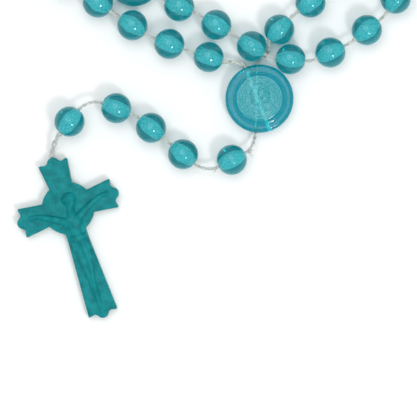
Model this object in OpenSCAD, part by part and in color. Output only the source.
// A five-decade rosary of moulded plastic beads on a twisted cord, laid flat.
// Origin: centre of the medal's flat back, on the surface that everything rests on.

/* [Beads] */
// Diameter of an Ave bead and of a pendant bead
bead_d = 8; // [7.9:0.05:8.1]
// Diameter of an Our Father disc in the loop
pater_d = 14.2; // [13.9:0.1:14.3]
// Thickness of an Our Father disc
pater_t = 5; // [4:0.5:6]

/* [Cord] */
// Diameter of the cord between the beads
cord_d = 1; // [0.7:0.1:1.2]
// Diameter of the doubled cord above the crucifix
crucifix_cord_d = 1.5; // [1:0.1:1.6]
// Diameter of the bore through a bead
bore_d = 1.5; // [1.4:0.1:1.8]
// Diameter of the funnel at each end of a bore
mouth_d = 2.6; // [2.4:0.1:2.8]
// Depth of the funnel at each end of a bore
mouth_depth = 0.7; // [0.5:0.1:0.9]
// Cord between two neighbouring beads, from hole to hole
gap = 2.9; // [2.85:0.05:2.95]

/* [Medal] */
// Diameter of the medal
medal_d = 18; // [17.8:0.1:18]
// Thickness of the medal
medal_t = 4.4; // [4:0.2:5]
// Diameter of the raised ring on its front
medal_ring_d = 13; // [11:0.5:14]
// Height of the raised ring
medal_ring_h = 0.3; // [0.2:0.05:0.5]

/* [Crucifix] */
// Length of the crucifix
crucifix_l = 44.4; // [40:0.2:46]
// Width across its two arms
crucifix_w = 28; // [26:0.5:30]
// Distance from its top down to the middle of the crossing
crossing_drop = 14; // [13:0.5:15]
// Width of an arm beside the crossing
arm_w = 5.6; // [5:0.1:6]
// Width of an arm at its flared end
arm_end_w = 8; // [7:0.1:8.5]
// Thickness of the cross
crucifix_t = 3; // [2.6:0.1:3.4]
// Diameter of the halo disc behind the figure
halo_d = 13.8; // [12:0.2:14.4]

/* [Hidden] */
$fn = 48;
bead_r = bead_d / 2;
pater_r = pater_d / 2;
cord_sides = 8;
cord_back = 1; // how far one cord's end stays behind the next cord's round start
plastic = [0, 0.55, 0.6];
cord_grey = [0.68, 0.68, 0.64];

// Where the cords leave the medal
loop_hole = [-3.6, 8.25, medal_t / 2];
return_hole = [-0.6, 8.98, medal_t / 2];
drop_hole = [-1, -8.94, medal_t / 2];
core_hole = [2.8, -8.55, medal_t / 2];
// Where the bore that takes the loop's first cord crosses the bore down to the pendant
function flat(p) = [p[0], p[1]];
medal_heart = loop_hole + (core_hole - loop_hole)
    * cross(flat(return_hole - loop_hole), flat(drop_hole - return_hole))
    / cross(flat(core_hole - loop_hole), flat(drop_hole - return_hole));

// The loop is laid in three strands. Each bead has the direction of its bore, in degrees,
// and the cord between two bores runs halfway between their directions.
decade_1_bores = [163.5, 159.5, 147, 146, 145, 165, 185, 190, 185, 165];
pater_1_bore = 130;
decade_2_bores = [90, 60, 20, -20, -35, -34, -33, -20.5, -16.5, -50];
pater_2_bore = -37;
decade_3_bores = [-22, -31, -31, -6, 25, 38, 57, 25, -5, -35];
pater_3_bore = -40;
decade_4_start_bores = [-15, -5, 15, 35, 55];
decade_4_end_bores = [75, 95, 120, 145, 160];
pater_4_bore = 175;
decade_5_bores = [190, 195, 205, 220, 237, 218, 205, 230, 216, 226];
pater_2_centre = [-33, 31.4];
last_ave_centre = [5.2, 18.1];
first_gap = 6.1;
first_cord_turn = 166;
wide_gap = 3.3; // beside the two beads where the third decade turns

// The pendant, from the medal down
pendant_bores = [207, 140, 141, 160, 232];
pendant_gaps = [6, 6.2, 2.9, 2.6, 6.3];
pendant_cord_turn = 243;
crucifix_gap = 6.8;
crucifix_cord_turn = 248.5;
crucifix_turn = 288.5;

// A bead is [radius, half thickness, bore direction, gap before it]
function aves(bores, gaps = []) =
    [for (i = [0 : len(bores) - 1]) [bead_r, bead_r, bores[i], i < len(gaps) ? gaps[i] : gap]];
function pater(bore) = [[pater_r, pater_t / 2, bore, gap]];
function with_wide(bores, at) =
    aves(bores, [for (i = [0 : len(bores) - 1]) i == at[0] || i == at[1] ? wide_gap : gap]);

strand_a = concat(aves(decade_1_bores, [first_gap]), pater(pater_1_bore));
strand_b = concat(aves(decade_2_bores), pater(pater_2_bore), with_wide(decade_3_bores, [5, 6]),
    pater(pater_3_bore), aves(decade_4_start_bores));
strand_c = concat(aves(decade_4_end_bores), pater(pater_4_bore), with_wide(decade_5_bores, [5, 6]));
strand_p = [for (i = [0 : 4]) [bead_r, bead_r, pendant_bores[i], pendant_gaps[i]]];

function along(turn) = [cos(turn), sin(turn)];
function halfway(a, b) = a + (((b - a) % 360 + 540) % 360 - 180) / 2;
function cord_turn(strand, i, first) =
    i > 0 ? halfway(strand[i - 1][2], strand[i][2]) : is_undef(first) ? strand[0][2] : first;
function step(strand, i, first) =
    strand[i][3] * along(cord_turn(strand, i, first)) + 2 * strand[i][0] * along(strand[i][2]);
// Where the cord leaves bead i of a strand that starts at the given point
function exits(strand, start, first) =
    [for (i = 0, p = start + step(strand, 0, first); i < len(strand);
        i = i + 1, p = i < len(strand) ? p + step(strand, i, first) : p) p];
// Each placed bead is [centre, entry, exit, bore direction, radius, half thickness]
function placed(strand, start, first) =
    let (ends = exits(strand, start, first))
    [for (i = [0 : len(strand) - 1])
        let (r = strand[i][0], z = strand[i][1], way = along(strand[i][2]), out = ends[i])
        [concat(out - r * way, z), concat(out - 2 * r * way, z), concat(out, z), strand[i][2], r, z]];
// A strand moved so that bead i is centred on the given point
function placed_by(strand, i, point) =
    let (there = placed(strand, [0, 0], undef)[i][0])
    placed(strand, point - [there[0], there[1]], undef);

beads_a = placed(strand_a, [loop_hole[0], loop_hole[1]], first_cord_turn);
beads_b = placed_by(strand_b, 10, pater_2_centre);
beads_c = placed_by(strand_c, 15, last_ave_centre);
pendant = placed(strand_p, [drop_hole[0], drop_hole[1]], pendant_cord_turn);
loop = concat(beads_a, beads_b, beads_c);
crucifix_top =
    concat(flat(pendant[4][2]) + crucifix_gap * along(crucifix_cord_turn), crucifix_t / 2);

// Places in the loop, counted from the medal
function ave(decade, n) = (decade - 1) * 11 + n - 1;
function pater_at(n) = n * 11 - 1;

// The cord's curve across the gap from one bore to the next
function bend(a, way_a, b, way_b, t) =
    let (reach = norm(b - a), s = 1 - t)
    (1 + 2 * t) * s * s * a + t * s * s * reach * way_a
        + t * t * (3 - 2 * t) * b - t * t * s * reach * way_b;
function flat_way(turn) = [cos(turn), sin(turn), 0];
function gap_points(a, turn_a, b, turn_b) =
    [for (t = [0, 0.5, 1]) bend(a, flat_way(turn_a), b, flat_way(turn_b), t)];
function gap_between(one, two) = gap_points(one[2], one[3], two[1], two[3]);

// An eight-sided tube swept along points
function unit(v) = v / norm(v);
function heading(points, i) =
    unit(points[min(i + 1, len(points) - 1)] - points[max(i - 1, 0)]);
function ring(point, way, r) =
    let (side = unit(cross([0, 0, 1], way)), up = cross(way, side))
    [for (k = [0 : cord_sides - 1])
        let (turn = 360 * k / cord_sides)
        point + r * (cos(turn) * side + sin(turn) * up)];
module tube(points, d) {
    rings = len(points);
    n = cord_sides;
    polyhedron(
        points = [for (i = [0 : rings - 1]) each ring(points[i], heading(points, i), d / 2)],
        faces = concat(
            [[for (k = [0 : n - 1]) k]],
            [for (i = [0 : rings - 2], k = [0 : n - 1])
                [i * n + k, (i + 1) * n + k, (i + 1) * n + (k + 1) % n, i * n + (k + 1) % n]],
            [[for (k = [n - 1 : -1 : 0]) (rings - 1) * n + k]]),
        convexity = 8);
}
// From a point back along its bore, where a cord's end stops short
function short_of(bead) = bead[2] - cord_back * flat_way(bead[3]);
function just_inside(bead) = bead[1] + cord_back * flat_way(bead[3]);

// Cord of beads first..last. It may be joined to the bead before, and may run on ahead to the next
module cord_run(beads, first, last, joined, ahead) {
    inner = [for (i = [first : last]) each
        concat(i > first ? [gap_between(beads[i - 1], beads[i])[1]] : [], [beads[i][1]],
            i < last ? [beads[i][2]] : [])];
    before = joined ? gap_between(beads[first - 1], beads[first]) : [just_inside(beads[first])];
    after = ahead ? gap_between(beads[last], beads[last + 1]) : [short_of(beads[last])];
    trimmed = [for (i = [1 : 1 : len(inner) - 1]) inner[i]];
    color(cord_grey) tube(concat(before, trimmed, after), cord_d);
}

// A drilled hole with a funnel at the end that points the given way
module bore(from, to, d = bore_d) {
    way = to - from;
    translate(from)
        rotate([0, 0, atan2(way[1], way[0])])
            rotate([0, 90, 0])
                cylinder(d = d, h = norm(way));
}
module funnel(mouth, turn) {
    widening = mouth_d - bore_d;
    translate(mouth)
        rotate([0, 0, turn])
            rotate([0, 90, 0])
                translate([0, 0, -1.4 * mouth_depth])
                    cylinder(d1 = mouth_d - 1.4 * widening, d2 = mouth_d + widening, h = 2.4 * mouth_depth);
}
// A ball turned about its own bore, with a funnel at each end
module ball_bead(bead) {
    color(plastic)
        translate(bead[0])
            rotate([0, 0, bead[3]])
                rotate([0, 90, 0])
                    rotate_extrude()
                        difference() {
                            circle(r = bead_r);
                            translate([-2 * bead_r, -bead_r]) square([2 * bead_r + bore_d / 2, bead_d]);
                            for (end = [-1, 1])
                                polygon([[0, end * (bead_r - mouth_depth)],
                                    [bore_d / 2, end * (bead_r - mouth_depth)],
                                    [mouth_d / 2, end * bead_r], [0, end * bead_r]]);
                        }
}
// A flat disc with a rounded edge, drilled across
module rounded_disc(r, t, edge) {
    rotate_extrude()
        polygon([[0, 0], [r - edge, 0], [r - 0.35 * edge, 0.25 * edge], [r, 0.75 * edge],
            [r, t - 0.75 * edge], [r - 0.35 * edge, t - 0.25 * edge], [r - edge, t], [0, t]]);
}
module disc_bead(bead) {
    reach = 1.1 * bead[4] * flat_way(bead[3]);
    color(plastic)
        difference() {
            translate([bead[0][0], bead[0][1], 0]) rounded_disc(pater_r, pater_t, 1.8);
            bore(bead[0] - reach, bead[0] + reach);
            funnel(bead[1], bead[3] + 180);
            funnel(bead[2], bead[3]);
        }
}
module ball_beads(first, last) {
    for (i = [first : last]) ball_bead(loop[i]);
}

module medal() {
    r = medal_d / 2;
    ring_r = medal_ring_d / 2;
    recess = 0.4;
    color(plastic)
        difference() {
            rotate_extrude()
                polygon([[0, 0], [r - 1, 0], [r - 0.35, 0.25], [r, 0.75], [r, medal_t - 0.75],
                    [r - 0.35, medal_t - 0.25], [r - 1, medal_t], [ring_r + 0.45, medal_t],
                    [ring_r + 0.2, medal_t + medal_ring_h], [ring_r - 0.2, medal_t + medal_ring_h],
                    [ring_r - 0.45, medal_t - recess], [0, medal_t - recess]]);
            through_bore(loop_hole, core_hole, bore_d, 113, 288);
            through_bore(return_hole, drop_hole, bore_d + 0.1, 93, 264);
        }
}
// A bore from one hole to another, with a funnel at each that leans towards its cord
module through_bore(one, two, d, turn_one, turn_two) {
    past = 0.15 * (two - one);
    bore(one - past, two + past, d);
    funnel(one, turn_one);
    funnel(two, turn_two);
}

// The cord through the medal: out to the first Ave, and in from the last one and down
module medal_cord() {
    last = loop[ave(5, 10)];
    color(cord_grey) {
        tube(concat([medal_heart], gap_points(loop_hole, 125, loop[0][1], loop[0][3]),
            [short_of(loop[0])]), cord_d);
        tube([last[2], [2.45, 13.6, 2.6], [1.9, 11.6, 1], [0.1, 10.4, 1.1], return_hole,
            drop_hole + 0.1 * (medal_heart - drop_hole)], cord_d);
    }
}

module pendant_cord(n) {
    start = n == 0 ? gap_points(drop_hole, 262, pendant[0][1], pendant[0][3])
        : gap_between(pendant[n - 1], pendant[n]);
    color(cord_grey) tube(concat(start, [short_of(pendant[n])]), cord_d);
}
module crucifix_cord() {
    color(cord_grey)
        tube(gap_points(pendant[4][2], pendant[4][3], crucifix_top, crucifix_turn - 23), crucifix_cord_d);
}

// One arm's outline: it flares to two corners, with a round lobe between two notches
module arm_outline(reach) {
    lobe_r = 1.6;
    notch_r = 0.7;
    body = reach - 1.2;
    difference() {
        polygon([[0, -arm_w / 2], [0.3 * body, -arm_w / 2], [body, -arm_end_w / 2],
            [body, arm_end_w / 2], [0.3 * body, arm_w / 2], [0, arm_w / 2]]);
        for (side = [-1, 1])
            translate([body + 0.1, side * (lobe_r + notch_r + 0.1)]) circle(r = notch_r);
    }
    translate([reach - lobe_r, 0]) circle(r = lobe_r);
}
// The figure in low relief, as plain rounded masses along the cross
module figure_relief() {
    top = crucifix_t;
    head_x = crossing_drop - 0.6;
    shoulder_x = crossing_drop + 1.6;
    foot_x = crossing_drop + 18;
    knee_x = crossing_drop + 11;
    hip_x = crossing_drop + 7.4;
    hand_y = 0.37 * crucifix_w;
    translate([head_x, 0.3, top + 0.3]) sphere(r = 1.35);
    hull() {
        translate([shoulder_x, 0, top - 0.2]) scale([1, 2, 1]) sphere(r = 1, $fn = 20);
        translate([hip_x, 0, top - 0.2]) scale([1.2, 1.4, 1]) sphere(r = 1, $fn = 20);
    }
    hull() {
        translate([hip_x, 0, top - 0.2]) scale([1, 1.5, 1]) sphere(r = 1, $fn = 20);
        translate([knee_x, 0.4, top]) sphere(r = 1, $fn = 20);
    }
    hull() {
        translate([knee_x, 0.4, top]) sphere(r = 0.95, $fn = 20);
        translate([foot_x, 0, top - 0.3]) sphere(r = 0.65, $fn = 20);
    }
    for (side = [-1, 1])
        hull() {
            translate([shoulder_x, side * 1.5, top - 0.1]) sphere(r = 0.8, $fn = 20);
            translate([crossing_drop - 1, side * hand_y, top - 0.2]) sphere(r = 0.55, $fn = 20);
        }
}
module crucifix() {
    color(plastic)
        translate([crucifix_top[0], crucifix_top[1], 0])
            rotate([0, 0, crucifix_turn])
                difference() {
                    union() {
                        linear_extrude(height = crucifix_t)
                            translate([crossing_drop, 0]) {
                                rotate(180) arm_outline(crossing_drop);
                                arm_outline(crucifix_l - crossing_drop);
                                rotate(90) arm_outline(crucifix_w / 2);
                                rotate(-90) arm_outline(crucifix_w / 2);
                            }
                        translate([crossing_drop, 0, 0]) cylinder(d = halo_d, h = crucifix_t - 0.5);
                        figure_relief();
                    }
                    translate([-0.1, 0, crucifix_t / 2])
                        rotate([0, 90, 0]) {
                            cylinder(d = crucifix_cord_d + 0.4, h = 4.1);
                            cylinder(d1 = crucifix_cord_d + 1.1, d2 = crucifix_cord_d, h = 1.2);
                        }
                }
}

// The beads near the folds have a node each, and the far beads of a decade lie in one group
single_aves = [[1, 1], [1, 2], [1, 3], [1, 4], [1, 5], [2, 5], [2, 6], [2, 7], [2, 8], [3, 1],
    [3, 2], [3, 3], [3, 4], [3, 5], [3, 6], [3, 7], [5, 5], [5, 6], [5, 9], [5, 10]];
function ave_name(decade, n) = str("decade_", decade, "_ave_", n < 10 ? "0" : "", n);
// Groups are [name, first place, last place]
groups = [
    ["decade_1_aves_06_to_10", ave(1, 6), ave(1, 10)],
    ["decade_2_aves_01_to_04", ave(2, 1), ave(2, 4)],
    ["decade_2_aves_09_and_10", ave(2, 9), ave(2, 10)],
    ["decade_3_aves_08_to_10", ave(3, 8), ave(3, 10)],
    ["decade_4_aves", ave(4, 1), ave(4, 10)],
    ["decade_5_aves_01_to_04", ave(5, 1), ave(5, 4)],
    ["decade_5_aves_07_and_08", ave(5, 7), ave(5, 8)]];
// Cord runs are [name, first place, last place, starts at the bead before, runs on to the next]
runs = [
    ["cord_to_ave_1_02", ave(1, 2), ave(1, 2), true, false],
    ["cord_to_ave_1_03", ave(1, 3), ave(1, 3), true, false],
    ["cord_to_ave_1_04", ave(1, 4), ave(1, 4), true, false],
    ["cord_to_ave_1_05", ave(1, 5), ave(1, 5), true, false],
    ["cord_left_lobe", ave(1, 6), ave(2, 4), true, true],
    ["cord_from_ave_2_05", ave(2, 5), ave(2, 5), false, true],
    ["cord_from_ave_2_06", ave(2, 6), ave(2, 6), false, true],
    ["cord_from_ave_2_07", ave(2, 7), ave(2, 7), false, true],
    ["cord_from_ave_2_08", ave(2, 8), ave(2, 8), false, true],
    ["cord_middle", ave(2, 9), ave(3, 5), false, false],
    ["cord_to_ave_3_06", ave(3, 6), ave(3, 6), true, false],
    ["cord_to_ave_3_07", ave(3, 7), ave(3, 7), true, false],
    ["cord_right_lobe", ave(3, 8), ave(5, 4), true, true],
    ["cord_from_ave_5_05", ave(5, 5), ave(5, 5), false, true],
    ["cord_from_ave_5_06", ave(5, 6), ave(5, 6), false, true],
    ["cord_last_aves", ave(5, 7), ave(5, 10), false, false]];

medal();
medal_cord();
crucifix();
crucifix_cord();
disc_bead(loop[pater_at(1)]);  // pater_1
disc_bead(loop[pater_at(2)]);  // pater_2
for (n = [3, 4]) disc_bead(loop[pater_at(n)]);  // paters_3_and_4
for (n = [1 : 5]) {
    ball_bead(pendant[n - 1]);
    pendant_cord(n - 1);
}
for (s = single_aves)
    ball_bead(loop[ave(s[0], s[1])]);
for (g = groups)
    ball_beads(g[1], g[2]);
for (r = runs)
    cord_run(loop, r[1], r[2], r[3], r[4]);
